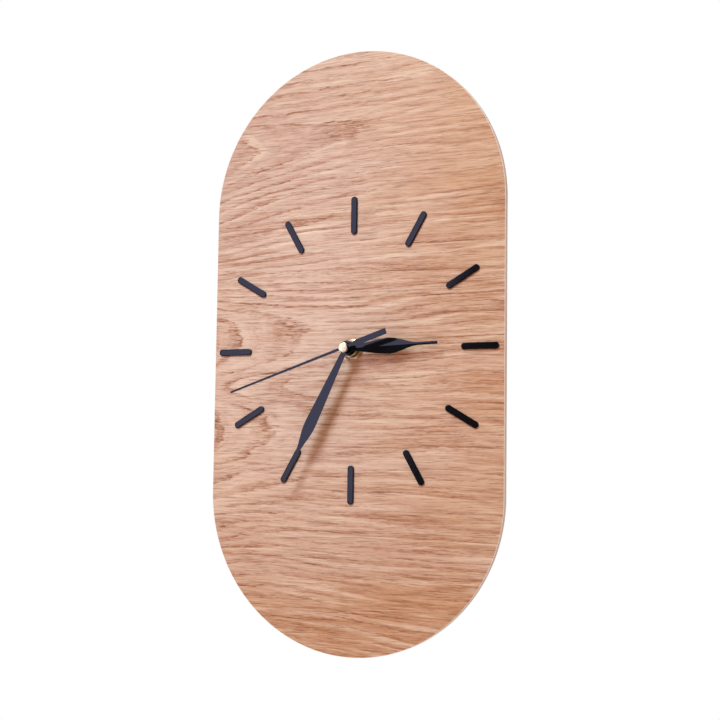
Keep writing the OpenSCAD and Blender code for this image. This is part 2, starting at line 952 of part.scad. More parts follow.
module coil_bobbin() {
    length = bobbin_top - bobbin_bottom;
    half_w = core_strip_w / 2 + seat_clear;
    half_t = stator_t / 2 + seat_clear;
    color("ivory")
        upright()
            along_coil()
                difference() {
                    union() {
                        for (z = [0, length - flange_t])
                            slab(z, flange_t)
                                area(-flange_half, flange_half, -flange_half, flange_half);
                        slab(0, length)
                            area(-half_w - bobbin_wall, half_w + bobbin_wall,
                                 -half_t - bobbin_wall, half_t + bobbin_wall);
                    }
                    slab(-cut, length + 2 * cut)
                        area(-half_w, half_w, -half_t, half_t);
                }
}

module coil_winding() {
    length = bobbin_top - bobbin_bottom;
    half_w = core_strip_w / 2 + bobbin_wall + 2 * seat_clear;
    half_t = stator_t / 2 + bobbin_wall + 2 * seat_clear;
    color("peru")
        upright()
            along_coil()
                difference() {
                    disc(flange_t, length - 2 * flange_t, coil_r);
                    slab(0, length)
                        area(-half_w, half_w, -half_t, half_t);
                }
}

module circuit_board() {
    color("darkgreen")
        upright()
            slab(board_z, board_t)
                area(board_left, board_left + board_w, board_bottom, board_top);
}

// Drop of black resin over the bare chip
module timing_chip() {
    color("black")
        upright()
            translate([board_left + board_w / 2, board_bottom + board_w, board_z])
                intersection() {
                    disc(-chip_h, chip_h, chip_r);
                    translate([0, 0, chip_dome_r - chip_h])
                        sphere(chip_dome_r);
                }
}

// Small metal can that lies on the board
module quartz_crystal() {
    color("silver")
        upright()
            translate([board_left + board_w / 2, board_top - board_w,
                       board_z - crystal_r - crystal_gap])
                rotate([90, 0, 0])
                    translate([0, 0, -crystal_len / 2])
                        cylinder(h = crystal_len, r = crystal_r);
}

// Round cell with a rolled edge at each end and a raised positive contact at the right
module battery() {
    body = battery_len - nub_h;
    color("darkorange")
        upright()
            translate([-battery_len / 2, battery_y, battery_z])
                rotate([0, 90, 0])
                    rotate_extrude() {
                        area(0, battery_d / 2 - crimp_r, 0, body);
                        area(0, battery_d / 2, crimp_r, body - crimp_r);
                        for (z = [crimp_r, body - crimp_r])
                            intersection() {
                                translate([battery_d / 2 - crimp_r, z])
                                    circle(crimp_r);
                                area(0, battery_d / 2, 0, body);
                            }
                        area(0, nub_r, body - crimp_r, battery_len);
                    }
}

// Springy strip bent to a point that presses on the battery's end, at the bay's right wall
module contact_leaf() {
    wall_x = pocket_half_w;
    peak_x = battery_len / 2 + leaf_touch;
    slab(battery_z - leaf_w / 2, leaf_w)
        polygon([
            [wall_x - strip_t, battery_y - leaf_half], [peak_x, battery_y],
            [wall_x - strip_t, battery_y + leaf_half], [wall_x, battery_y + leaf_half],
            [peak_x + strip_t, battery_y], [wall_x, battery_y - leaf_half]
        ]);
    slab(battery_z - leaf_w / 2, contact_z + strip_t - battery_z + leaf_w / 2)
        area(wall_x - strip_t, wall_x, battery_y + leaf_half - strip_w, bay_top);
}

// Tab that passes through a slot to the front of the circuit board
module contact_tab(x) {
    slab(contact_z, strip_t)
        area(x, x + tab_w, bay_top - strip_t, board_bottom + tab_reach);
}

// Positive contact: its strip runs along the top front corner of the bay to the board
module positive_contact() {
    color("goldenrod")
        upright() {
            contact_leaf();
            slab(contact_z, strip_w / 2)
                area(positive_tab_x, pocket_half_w, bay_top - strip_t, bay_top);
            contact_tab(positive_tab_x);
        }
}

module negative_contact() {
    color("goldenrod")
        upright() {
            mirror([1, 0, 0])
                contact_leaf();
            slab(contact_z, strip_w / 2)
                area(-pocket_half_w, negative_tab_x + tab_w, bay_top - strip_t, bay_top);
            contact_tab(negative_tab_x);
        }
}

front_veneer();
panel_core();
back_veneer();
for (hour = HOURS)
    hour_mark(hour);
hour_hand();
hour_hand_collet();
minute_hand();
minute_hand_collet();
second_hand();
second_hand_barrel();
second_hand_cap();
brass_washer();
dial_nut();
rubber_washer();
threaded_bush();
movement_case();
case_cover();
wheel_bridge();
setting_knob();
minute_wheel();
hour_wheel();
centre_wheel();
third_wheel();
seconds_wheel();
seconds_arbor();
intermediate_wheel();
rotor_pinion();
rotor_magnet();
stator_plate();
coil_core();
coil_bobbin();
coil_winding();
circuit_board();
timing_chip();
quartz_crystal();
battery();
positive_contact();
negative_contact();
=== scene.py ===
from math import atan2, cos, e, pi, radians, sin, tan

import bmesh
import bpy
from mathutils import Matrix, Vector


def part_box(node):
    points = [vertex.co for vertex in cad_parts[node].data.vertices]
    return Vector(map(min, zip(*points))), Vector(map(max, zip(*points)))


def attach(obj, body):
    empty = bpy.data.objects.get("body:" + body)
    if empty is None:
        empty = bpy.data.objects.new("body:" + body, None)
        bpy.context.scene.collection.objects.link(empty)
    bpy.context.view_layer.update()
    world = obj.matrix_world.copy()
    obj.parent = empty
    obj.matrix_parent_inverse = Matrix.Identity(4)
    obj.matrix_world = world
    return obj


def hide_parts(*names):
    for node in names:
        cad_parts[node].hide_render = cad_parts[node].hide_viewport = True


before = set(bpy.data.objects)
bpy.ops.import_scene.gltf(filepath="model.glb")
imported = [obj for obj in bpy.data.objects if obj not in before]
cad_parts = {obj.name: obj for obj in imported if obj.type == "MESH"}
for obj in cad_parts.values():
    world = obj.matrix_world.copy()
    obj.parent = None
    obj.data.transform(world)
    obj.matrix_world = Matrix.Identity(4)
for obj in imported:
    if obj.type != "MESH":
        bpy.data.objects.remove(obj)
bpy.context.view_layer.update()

MM = 0.001


# Studio. A pale round floor lies well below the hanging clock, the ground behind it is white,
# and two soft boxes light it: one high in front, one cool and wide at the left, which shows
# in the gloss of the hands and hour marks.
face_low, face_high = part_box("front_veneer")
bush_low, bush_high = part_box("threaded_bush")
HUB_Z = (bush_low.z + bush_high.z) / 2
scene = bpy.context.scene
scene.view_settings.view_transform = "Standard"

# The photograph's viewpoint, fitted to the panel's outline and the ring of hour marks
lens = bpy.data.cameras.new("camera")
lens.lens = 65.734
lens.sensor_width = 36
lens.clip_start = 0.01
camera = bpy.data.objects.new("camera", lens)
camera.location = (0.35510, -0.75938, -0.10476)
camera.rotation_euler = (radians(94.547), radians(-0.767), radians(25.328))
scene.collection.objects.link(camera)
scene.camera = camera


def soft_box(name, left_of_front, above, distance, width, height, lean, watts, colour):
    """A plain area lamp that faces the middle of the dial, leant about its own middle."""
    lamp = bpy.data.lights.new(name, "AREA")
    lamp.shape = "RECTANGLE"
    lamp.size, lamp.size_y = width, height
    lamp.energy = watts
    lamp.color = colour
    holder = bpy.data.objects.new(name, lamp)
    side, rise = radians(left_of_front), radians(above)
    out = Vector((-sin(side) * cos(rise), -cos(side) * cos(rise), sin(rise)))
    holder.location = Vector((0, face_low.y, HUB_Z)) + out * distance
    facing = out.to_track_quat("Z", "Y").to_matrix() @ Matrix.Rotation(radians(lean), 3, "Z")
    holder.rotation_euler = facing.to_euler()
    scene.collection.objects.link(holder)


soft_box("high_soft_box", left_of_front=12.5, above=46, distance=4.0, width=1.3, height=1.3,
         lean=0, watts=150.0, colour=(0.66, 0.97, 1.10))
soft_box("left_soft_box", left_of_front=27.8, above=10.7, distance=1.07, width=0.34,
         height=0.67, lean=-15.5, watts=1.50, colour=(0.60, 0.60, 1.0))


class Value:
    """A number, colour or vector on its way through a node tree, with plain arithmetic."""

    def __init__(self, nodes, socket):
        self.nodes, self.socket = nodes, socket

    def beside(self, output):
        """Another output of the node that this value comes from."""
        return Value(self.nodes, self.socket.node.outputs[output])

    def __add__(self, other):
        return self.nodes.maths("ADD", self, other)

    def __radd__(self, other):
        return self.nodes.maths("ADD", other, self)

    def __sub__(self, other):
        return self.nodes.maths("SUBTRACT", self, other)

    def __rsub__(self, other):
        return self.nodes.maths("SUBTRACT", other, self)

    def __mul__(self, other):
        return self.nodes.maths("MULTIPLY", self, other)

    def __rmul__(self, other):
        return self.nodes.maths("MULTIPLY", other, self)

    def __truediv__(self, other):
        return self.nodes.maths("DIVIDE", self, other)

    def __rtruediv__(self, other):
        return self.nodes.maths("DIVIDE", other, self)

    def __pow__(self, other):
        return self.nodes.maths("POWER", self, other)

    def __rpow__(self, other):
        return self.nodes.maths("POWER", other, self)


class Nodes:
    """A node tree that is being built, for a finish, for the room or for a mesh."""

    def __init__(self, tree):
        self.tree = tree

    def add(self, kind, settings=None, *by_place, out=0, **by_name):
        """A node of any type: first its settings, then the values or links of its inputs, in
        order or by name. None leaves an input as it is."""
        node = self.tree.nodes.new(kind)
        for key, value in (settings or {}).items():
            if key == "points":
                self.bend_curve(node.mapping, value)
            else:
                setattr(node, key, value)
        for index, value in enumerate(by_place):
            self.feed(node.inputs[index], value)
        for name, value in by_name.items():
            self.feed(node.inputs[name.replace("_", " ")], value)
        return Value(self, node.outputs[out])

    def bend_curve(self, mapping, points):
        curve = mapping.curves[0]
        while len(curve.points) < len(points):
            curve.points.new(0.5, 0.5)
        for knot, place in zip(curve.points, points):
            knot.location = place
        mapping.update()

    def feed(self, socket, value):
        """Links a value or sets a constant. A list is linked to one input as a whole."""
        if isinstance(value, list):
            for each in value:
                self.feed(socket, each)
        elif isinstance(value, Value):
            self.tree.links.new(value.socket, socket)
        elif value is not None:
            if isinstance(value, tuple) and len(socket.default_value) > len(value):
                value = (*value, 1.0)
            socket.default_value = value

    def maths(self, operation, *numbers):
        return self.add("ShaderNodeMath", {"operation": operation}, *numbers)

    def vector(self, x, y, z):
        return self.add("ShaderNodeCombineXYZ", None, x, y, z)

    def vector_maths(self, operation, *vectors):
        return self.add("ShaderNodeVectorMath", {"operation": operation}, *vectors)

    def length(self, vector):
        return self.vector_maths("LENGTH", vector).beside("Value")

    def mix(self, share, first, second):
        """A colour between two. The inputs that come before the colours are for numbers and
        vectors, and stay as they are."""
        unused = [None] * 5
        return self.add("ShaderNodeMix", {"data_type": "RGBA"}, share, *unused, first, second,
                        out=2)


class Finish(Nodes):
    """A material of one finish. Numbers that never change are set on its shader directly."""

    def __init__(self, name, **plain):
        self.material = bpy.data.materials.new(name)
        self.material.use_nodes = True
        super().__init__(self.material.node_tree)
        self.shader = self.tree.nodes["Principled BSDF"]
        for socket, value in plain.items():
            self.set(socket.replace("_", " "), value)
        self.place = self.add("ShaderNodeTexCoord", out="Object")

    def set(self, socket, value):
        self.feed(self.shader.inputs[socket], value)

    def stretched(self, x, y, z):
        """Place divided by a pattern's size along each axis, given in millimetres."""
        return self.vector_maths("MULTIPLY", self.place,
                                 (1 / (x * MM), 1 / (y * MM), 1 / (z * MM)))

    def cloud(self, place, detail=2.0, rough=0.5, seed=0.0):
        """Soft random pattern between 0 and 1."""
        return self.add("ShaderNodeTexNoise", {"noise_dimensions": "4D"}, Vector=place, W=seed,
                        Scale=1.0, Detail=detail, Roughness=rough)

    def step(self, value, low, high):
        """0 below low, 1 above high, smooth between them."""
        return self.add("ShaderNodeMapRange", {"interpolation_type": "SMOOTHSTEP"},
                        value, low, high, 0.0, 1.0)

    def bump(self, height, depth_mm):
        """Relief whose height runs from 0 to 1 over the depth given."""
        self.set("Normal", self.add("ShaderNodeBump", Distance=depth_mm * MM, Height=height))


def srgb(red, green, blue):
    """A colour as it is seen, 0 to 255, turned into light."""
    return tuple((c / 255 / 12.92) if c <= 10 else ((c / 255 + 0.055) / 1.055) ** 2.4
                 for c in (red, green, blue))


def link(name, mesh, material=None):
    """A piece of this mesh, put into the scene."""
    piece = bpy.data.objects.new(name, mesh)
    scene.collection.objects.link(piece)
    if material:
        mesh.materials.clear()
        mesh.materials.append(material)
    return piece


def circle(radius, points=96):
    """Points round a circle in order."""
    return [(radius * cos(2 * pi * i / points), radius * sin(2 * pi * i / points))
            for i in range(points)]


def white_when_seen(nodes, dim, lit):
    """Mixes a surface or ground that is white to the eye and in gloss with a dimmer one."""
    to_eye = nodes.add("ShaderNodeLightPath", out="Is Camera Ray")
    seen = nodes.maths("MAXIMUM", to_eye, to_eye.beside("Is Glossy Ray"))
    seen = nodes.maths("MAXIMUM", seen, to_eye.beside("Is Transmission Ray"))
    return nodes.add("ShaderNodeMixShader", None, seen, dim, lit)


def front_to_back(nodes, front, back):
    """A colour of the room that turns from its half before the dial to the half behind it."""
    way = nodes.add("ShaderNodeTexCoord", out="Generated")
    depth = nodes.add("ShaderNodeSeparateXYZ", None, way).beside("Y")
    return nodes.mix(nodes.add("ShaderNodeMapRange", None, depth, -0.15, 0.25), front, back)


# The room lights the clock a little warmly from before the dial. In gloss that half is dark,
# so that black paint stays black, and to the eye all of the room is white.
white, near_black = (1.0, 1.0, 1.0), (0.05, 0.05, 0.06)
world = bpy.data.worlds.new("studio_ground")
world.use_nodes = True
scene.world = world
ground = Nodes(world.node_tree)
room = world.node_tree.nodes["Background"]
ground.feed(room.inputs["Color"], front_to_back(ground, (0.60, 0.37, 0.24), (0.95, 0.95, 0.95)))
in_gloss = ground.add("ShaderNodeBackground", Color=front_to_back(ground, near_black, white))
paper = ground.add("ShaderNodeBackground", Color=white)
in_view = ground.add("ShaderNodeMixShader", None,
                     ground.add("ShaderNodeLightPath", out="Is Camera Ray"), in_gloss, paper)
ground.feed(world.node_tree.nodes["World Output"].inputs[0],
            white_when_seen(ground, Value(ground, room.outputs[0]), in_view))

floor_radius, floor_height = 1.2, -1.45
floor_rim = [(x, y, floor_height) for x, y in circle(floor_radius)]
floor_mesh = bpy.data.meshes.new("floor")
floor_mesh.from_pydata(floor_rim, [], [list(range(len(floor_rim)))])
card = Finish("floor_paper", Roughness=0.8, Specular_IOR_Level=0.2)
card.set("Base Color", card.mix(card.cloud(card.stretched(300, 300, 300)),
                                (0.80, 0.80, 0.80), (0.84, 0.84, 0.84)))
shaded = Value(card, card.shader.outputs[0])
glowing = card.add("ShaderNodeAddShader", None, shaded,
                   card.add("ShaderNodeEmission", Strength=0.25))
card.feed(card.tree.nodes["Material Output"].inputs[0],
          white_when_seen(card, shaded, glowing))
floor = link("floor", floor_mesh, card.material)


# Panel. Two oak veneers are glued to a thin fibre board, cut to a tall shape with half-round
# ends, drilled for the bush, and the outer edges are broken with fine paper.
def pill_outline(half_width, half_height, arc_steps=128, side_steps=16):
    """Points round the outline in order, counter-clockwise as seen from the front."""
    straight = half_height - half_width
    points = []
    for i in range(arc_steps):
        a = pi * i / arc_steps
        points.append((half_width * cos(a), straight + half_width * sin(a)))
    for i in range(side_steps):
        points.append((-half_width, straight - 2 * straight * i / side_steps))
    for i in range(arc_steps):
        a = pi + pi * i / arc_steps
        points.append((half_width * cos(a), -straight + half_width * sin(a)))
    for i in range(side_steps):
        points.append((half_width, -straight + 2 * straight * i / side_steps))
    return points


def smoothed(mesh, crease):
    """Shades a mesh smoothly, apart from edges that turn by more degrees than the crease."""
    mesh.shade_smooth()
    mesh.set_sharp_from_angle(angle=radians(crease))


def ring_body(name, levels, material, middle=(0.0, 0.0), crease=40):
    """Closed ring round the hand axis, or round a middle that lies beside it. Each level is
    (outline points, y), in order round the wall, and every outline has the same number of
    points. A level that isn't flat has a list of y instead."""
    count = len(levels[0][0])
    mesh = bmesh.new()
    rows = []
    for points, y in levels:
        depths = y if isinstance(y, list) else [y] * count
        rows.append([mesh.verts.new((middle[0] + x, depth, HUB_Z + middle[1] + z))
                     for (x, z), depth in zip(points, depths)])
    for a, b in zip(rows, rows[1:] + rows[:1]):
        for i in range(count):
            j = (i + 1) % count
            mesh.faces.new((a[i], a[j], b[j], b[i]))
    bmesh.ops.recalc_face_normals(mesh, faces=mesh.faces)
    data = bpy.data.meshes.new(name)
    mesh.to_mesh(data)
    mesh.free()
    smoothed(data, crease)
    return link(name, data, material)


half_w = (face_high.x - face_low.x) / 2
half_h = (face_high.z - face_low.z) / 2
outline = pill_outline(half_w, half_h)
# The hole is 0.3 mm clear of the bush, and its points lie on the rays of the outline's
bush_hole_r = 4.3 * MM
hole = [(bush_hole_r * cos(atan2(z, x)), bush_hole_r * sin(atan2(z, x))) for x, z in outline]


def inset(by):
    """The outline moved inwards; its curves are arcs, so it is drawn again."""
    return pill_outline(half_w - by, half_h - by)


def oak(name, pale_tone, warm_tone, strength, seed):
    """Flat-sawn oak with its grain along x. The growth rings are the levels of a field that
    has ridges, so that they close in arches whose heads point right. Wood between two rings
    is laid in soft pale and brown layers, and cut vessels make short dark dashes."""
    wood = Finish(name, Specular_IOR_Level=0.3)
    place_x = wood.add("ShaderNodeSeparateXYZ", None, wood.place)
    across = place_x / MM
    up = (place_x.beside("Z") - HUB_Z) / MM
    to_right = wood.step(across, -95.0, 95.0)

    # The field falls from left to right, ever more slowly, which closes the arches
    from_left = across + 100
    fall = 60
    bend = 1 - e ** (from_left * (-1 / fall))
    level = up - up * across * 0.0003 - (up * 0.0009 + 0.02) * (bend * fall - 38)
    # Ridges and valleys of the log: ring count against height in millimetres
    rings = [(-200, -17.0), (-190, -15.5), (-173, -13), (-166, -12), (-161, -11), (-155, -10),
             (-147, -9), (-139, -8), (-134, -7), (-129, -6), (-120, -5), (-112, -4), (-107, -3),
             (-101, -2), (-83, -0.4), (-66, 1.0), (-50, 1.29), (-36, 0.7), (-24, -0.6),
             (-10, 0.8), (1, 1.45), (15.5, 1.59), (31.6, 0.1), (42, -2.2), (52, -4.2),
             (61, -5.6), (70, -6.4), (80, -5.8), (91, -4.1), (104, -2.2), (114, -0.4),
             (124, 1.2), (137, 1.90), (150, 1.5), (158, 0.5), (163, -0.4), (168, -1.2),
             (174, -2.1), (180, -3), (187, -4), (200, -6.0)]
    low_ring, high_ring, reach = -18.0, 3.0, 200
    span = high_ring - low_ring
    curve = [((z + reach) / (2 * reach), (count - low_ring) / span) for z, count in rings]
    ridge = wood.add("ShaderNodeFloatCurve", {"points": curve}, 1.0,
                     (level + reach) / (2 * reach))
    valley = wood.step(level, 38.0, 64.0) * (1 - wood.step(level, 76.0, 100.0))
    left_valley = valley * (1 - to_right)
    wide = wood.cloud(wood.stretched(70, 60, 30), 1.0, 0.5, seed)
    wave = wood.cloud(wood.stretched(24, 40, 9), 1.0, 0.5, seed + 3)
    frayed = wood.cloud(wood.stretched(9, 9, 0.9), 2.0, 0.6, seed + 7)
    smooth_ring = (ridge * span + low_ring - bend * (1 - valley) * 2.3
                   + (wide - 0.5) * 0.7 + (wave - 0.5) * 0.5)
    phase = wood.maths("FRACT", smooth_ring + (frayed - 0.5) * 0.34)
    arch = ((1 - phase) ** 3.2) * wood.step(phase, 0.0, 0.05)

    # Towards the right and between the ridges the rings run straight along the grain
    straight = wood.maths("MAXIMUM", valley * 0.8, wood.step(across - up * 0.22, -62.0, 22.0))
    sway = wood.cloud(wood.stretched(110, 90, 26), 1.0, 0.5, seed + 9)
    run = level * 0.215 + (sway - 0.5) * 3.4 + (frayed - 0.5) * 0.42
    run_phase = wood.maths("FRACT", run)
    course = ((1 - run_phase) ** 3) * wood.step(run_phase, 0.0, 0.07)

    # Pale and brown layers follow the rings; the brown ones are fainter near the top
    at_ring = wood.vector(across / 60, smooth_ring * 2.6 + (frayed - 0.5) * 0.5, 0.0)
    at_run = wood.vector(across / 75, run * 1.5, 4.0)
    bed = (wood.cloud(at_ring, 3.0, 0.6, seed + 11) * (1 - straight)
           + wood.cloud(at_run, 3.0, 0.6, seed + 15) * straight)
    brown = (1 - wood.step(bed, 0.38, 0.48)) * (1 - wood.step(up, 95.0, 125.0) * 0.5)
    pale = wood.step(bed, 0.50, 0.62)

    # Early wood shows as rows of open pores, so that a ring is a fringe of short dashes
    strong = wood.step(wood.cloud(wood.stretched(50, 30, 7), 2.0, 0.5, seed + 12), 0.34, 0.62)
    some = wood.step(wood.cloud(wood.stretched(60, 30, 6), 2.0, 0.5, seed + 16), 0.34, 0.60)
    fringe = wood.step(wood.cloud(wood.stretched(6, 8, 0.85), 2.0, 0.6, seed + 21), 0.40, 0.58)
    band = arch * (0.35 + strong * 0.65) * (1 - straight * 0.5) * (0.42 + fringe * 0.84)
    row = course * (0.15 + some * 0.85) * (0.15 + straight * 0.85)
    fibre = wood.cloud(wood.stretched(22, 9, 0.64), 3.0, 0.7, seed + 13)
    pores = wood.cloud(wood.stretched(5.5, 6, 0.45), 2.0, 0.55, seed + 17)
    dash = wood.step(pores + band * 0.14 + row * 0.12 + brown * 0.06, 0.60, 0.70)
    hair = wood.step(wood.cloud(wood.stretched(16, 6, 0.58), 2.0, 0.5, seed + 19), 0.56, 0.66)

    # The oil is sanded off the arris, and a painted highlight of the edge catching the light
    # lies
    # there too: a pale line a hair's width inside the outline
    past_side = wood.maths("ABSOLUTE", up) - (half_h - half_w) / MM
    over_end = wood.maths("MAXIMUM", past_side, 0.0)
    from_middle = wood.length(wood.vector(across, 0.0, over_end))
    bared_and_highlit = wood.step(from_middle, half_w / MM - 0.45, half_w / MM - 0.2)

    # The colour is warmer towards the right, the top and the bottom, and a little uneven; the
    # paler left is partly a painted sheen of the cool soft box at the left
    broad = wood.cloud(wood.stretched(150, 60, 18), 2.0, 0.5, seed + 23)
    warmth_and_sheen = (wood.step(across, -50.0, 95.0) * 0.60
              + wood.step(up, 20.0, 90.0) * to_right * 0.14
              + wood.step(up, 0.0, -110.0) * (1 - to_right) * 0.34
              + wood.step(up, -125.0, -185.0) * 0.62 + wood.step(up, 60.0, 170.0) * 0.46
              + (broad - 0.5) * 0.8)
    # The figure is calmer towards the top right and below the middle at the right
    calm = (wood.step(up, 50.0, 110.0) * wood.step(across, -10.0, 50.0) * 0.4
            + wood.step(up, -20.0, -70.0) * wood.step(up, -170.0, -120.0)
            * wood.step(across, -50.0, 20.0) * 0.22)
    figure = (1 - calm) * strength

    # Laid over one another: a painted shade at the top left, pale and brown layers, rings, light
    # and dark fibres, pores, hairs, and the sanded arris with its painted highlight
    tone = wood.mix(wood.step(warmth_and_sheen, -0.15, 1.15), pale_tone, warm_tone)
    for share, colour in (
            # painted shade: darkens the top left, where the high soft box lights the panel more
            # strongly
            (wood.step(up, 40.0, 130.0) * (1 - to_right) * 0.70, srgb(204, 165, 149)),
            (pale * (0.40 + straight * 0.20 + left_valley * 0.35) * figure,
             srgb(240, 209, 184)),
            (brown * (0.22 + fringe * 0.30 + straight * 0.08) * figure, srgb(188, 120, 80)),
            ((band * 0.95 + row * (0.78 + left_valley * 0.6)) * figure, srgb(170, 100, 62)),
            ((fibre - 0.5) * 2.0, srgb(242, 211, 184)),
            ((0.5 - fibre) * 2.4, srgb(154, 92, 60)),
            (dash * (0.28 + band * 0.4 + row * 0.4) * figure, srgb(118, 68, 44)),
            (hair * 0.46, srgb(138, 82, 56)),
            # paler arris: sanded wood, and a painted highlight where the edge catches the light
            (bared_and_highlit * 0.85, srgb(240, 220, 206))):
        tone = wood.mix(share, tone, colour)
    wood.set("Base Color", tone)
    wood.set("Roughness", 0.46 + band * 0.10 + dash * 0.12 - (fibre - 0.5) * 0.1)
    wood.bump(1 - dash * (0.3 + band) - hair * 0.3 + fibre * 0.3, 0.05)
    return wood.material


front_oak = oak("oak_face", srgb(222, 187, 168), srgb(208, 154, 116), strength=1.0, seed=2.0)
back_oak = oak("oak_back", srgb(216, 184, 162), srgb(206, 160, 132), strength=0.7, seed=41.0)

# The board's cut edge shows felted fibres and brown specks
board = Finish("fibre_board", Roughness=0.75, Specular_IOR_Level=0.25)
speck = board.cloud(board.stretched(0.5, 0.5, 0.5), 3.0, 0.7)
felt = board.cloud(board.stretched(9, 3, 9), 3.0, 0.6, 5.0)
edge_tone = board.mix(board.step(felt, 0.3, 0.7), srgb(216, 200, 194), srgb(200, 183, 176))
board.set("Base Color", board.mix(board.step(speck, 0.55, 0.75) * 0.5, edge_tone,
                                  srgb(168, 130, 110)))
board.bump(speck, 0.08)

# The sanded arris is a round of two facets, a shallow one and a steep one
arris = 0.30 * MM
facet = arris * 0.3
core_low, core_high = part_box("panel_core")
back_low, back_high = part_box("back_veneer")
for node, slot, material, levels in (
        ("panel_core", "panel_core", board.material,
         [(hole, core_low.y), (outline, core_low.y), (outline, core_high.y),
          (hole, core_high.y)]),
        ("front_veneer", "oak_veneer", front_oak,
         [(hole, face_low.y), (inset(arris), face_low.y), (inset(facet), face_low.y + facet),
          (outline, face_low.y + arris), (outline, face_high.y), (hole, face_high.y)]),
        ("back_veneer", "back_veneer", back_oak,
         [(hole, back_low.y), (outline, back_low.y), (outline, back_high.y - arris),
          (inset(facet), back_high.y - facet), (inset(arris), back_high.y),
          (hole, back_high.y)])):
    layer = ring_body(node + "_cut", levels, material)
    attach(layer, "clock_body")
    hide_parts(node)


# Hour marks. Twelve flat bars with round ends, cut from black gloss acrylic and glued to the
# face, all pointing at the hand axis. Their rims are flame-polished and slope a little.
def plain_mesh(piece):
    """The piece's mesh with its modifiers worked into it."""
    return bpy.data.meshes.new_from_object(
        piece.evaluated_get(bpy.context.evaluated_depsgraph_get()))


class Tree(Nodes):
    """Geometry Nodes that are built, run once on an empty piece and taken off again."""

    def __init__(self, name):
        super().__init__(bpy.data.node_groups.new(name, "GeometryNodeTree"))
        self.tree.interface.new_socket("Geometry", in_out="OUTPUT",
                                       socket_type="NodeSocketGeometry")
        self.entry = self.tree.nodes.new("NodeGroupInput")
        self.exit = self.tree.nodes.new("NodeGroupOutput")
        self.sizes = {}

    def size(self, name, value, kind="NodeSocketFloat"):
        """A named input of the tree, and the value that this piece has there."""
        socket = self.tree.interface.new_socket(name, in_out="INPUT", socket_type=kind)
        self.sizes[socket.identifier] = value
        return Value(self, next(s for s in self.entry.outputs
                                if s.identifier == socket.identifier))

    def grow(self, name, shape, material, crease=35):
        """Runs the tree and gives its result as a plain mesh piece."""
        real = self.add("GeometryNodeRealizeInstances", None, shape)
        self.feed(self.exit.inputs[0],
                  self.add("GeometryNodeSetMaterial", Geometry=real, Material=material))
        holder = link(name + "_tree", bpy.data.meshes.new(name + "_seed"))
        modifier = holder.modifiers.new("grow", "NODES")
        modifier.node_group = self.tree
        for identifier, value in self.sizes.items():
            modifier[identifier] = value
        grown = plain_mesh(holder)
        bpy.data.objects.remove(holder)
        grown.name = name
        smoothed(grown, crease)
        return link(name, grown)


acrylic = Finish("black_acrylic", Specular_IOR_Level=0.45)
haze = acrylic.cloud(acrylic.stretched(7, 7, 7), 2.0, 0.5)
acrylic.set("Base Color", acrylic.mix(haze, (0.0035, 0.0025, 0.0030), (0.0055, 0.0040, 0.0045)))
acrylic.set("Roughness", 0.07 + haze * 0.06)
acrylic.bump(acrylic.cloud(acrylic.stretched(3, 3, 3), 1.0), 0.002)

# Each bar is a slab with a thin second layer, whose top is drawn in to make the rim. Points
# nearer than WELD are made one, and a full half would leave straight edges of no length.
WELD = 2e-6
nearly_half = 0.4999
mark_low, mark_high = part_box("hour_mark_03")
marks = Tree("hour_marks_tree")
bar_len = marks.size("Length", mark_high.x - mark_low.x)
bar_w = marks.size("Width", mark_high.z - mark_low.z)
bar_t = marks.size("Thickness", mark_high.y - mark_low.y)
bar_at = marks.size("Distance of the middle", (mark_high.x + mark_low.x) / 2)
rim_w = marks.size("Width of the flame-polished rim", 0.45 * MM)
rim_drop = marks.size("Fall of the rim", 0.09 * MM)
bar_count = marks.size("Number of marks", 12, "NodeSocketInt")
rectangle = marks.add("GeometryNodeCurvePrimitiveQuadrilateral", Width=bar_len, Height=bar_w)
pill = marks.add("GeometryNodeFilletCurve", {"mode": "POLY"}, Curve=rectangle, Count=15,
                 Radius=bar_w * nearly_half)
plate = marks.add("GeometryNodeFillCurve", {"mode": "NGONS"}, Curve=pill)
slab = marks.add("GeometryNodeExtrudeMesh", Mesh=plate, Individual=False,
                 Offset_Scale=bar_t - rim_drop)
lifted = marks.add("GeometryNodeExtrudeMesh", Mesh=slab, Selection=slab.beside("Top"),
                   Individual=False, Offset_Scale=rim_drop)
drawn_in = marks.vector(1 - 2 * rim_w / bar_len, 1 - 2 * rim_w / bar_w, 1.0)
rimmed = marks.add("GeometryNodeSetPosition", Geometry=lifted, Selection=lifted.beside("Top"),
                   Position=marks.vector_maths(
                       "MULTIPLY", marks.add("GeometryNodeInputPosition"), drawn_in))
glued_face = marks.add("GeometryNodeFlipFaces", Mesh=plate)
bar = marks.add("GeometryNodeMergeByDistance", Distance=WELD,
                Geometry=marks.add("GeometryNodeJoinGeometry", None, [glued_face, rimmed]))
laid = marks.add("GeometryNodeTransform", Geometry=bar, Rotation=(pi / 2, 0, 0),
                 Translation=marks.vector(bar_at, mark_high.y, 0.0))
hour_angle = marks.add("GeometryNodeInputIndex") * (2 * pi / bar_count)
dial = marks.add("GeometryNodeInstanceOnPoints", Instance=laid,
                 Points=marks.add("GeometryNodePoints", Count=bar_count, Position=(0, 0, HUB_Z)),
                 Rotation=marks.vector(0.0, hour_angle, 0.0))
hour_marks = marks.grow("hour_marks", dial, acrylic.material, crease=8)
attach(hour_marks, "clock_body")
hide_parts(*["hour_mark_%02d" % hour for hour in range(1, 13)])


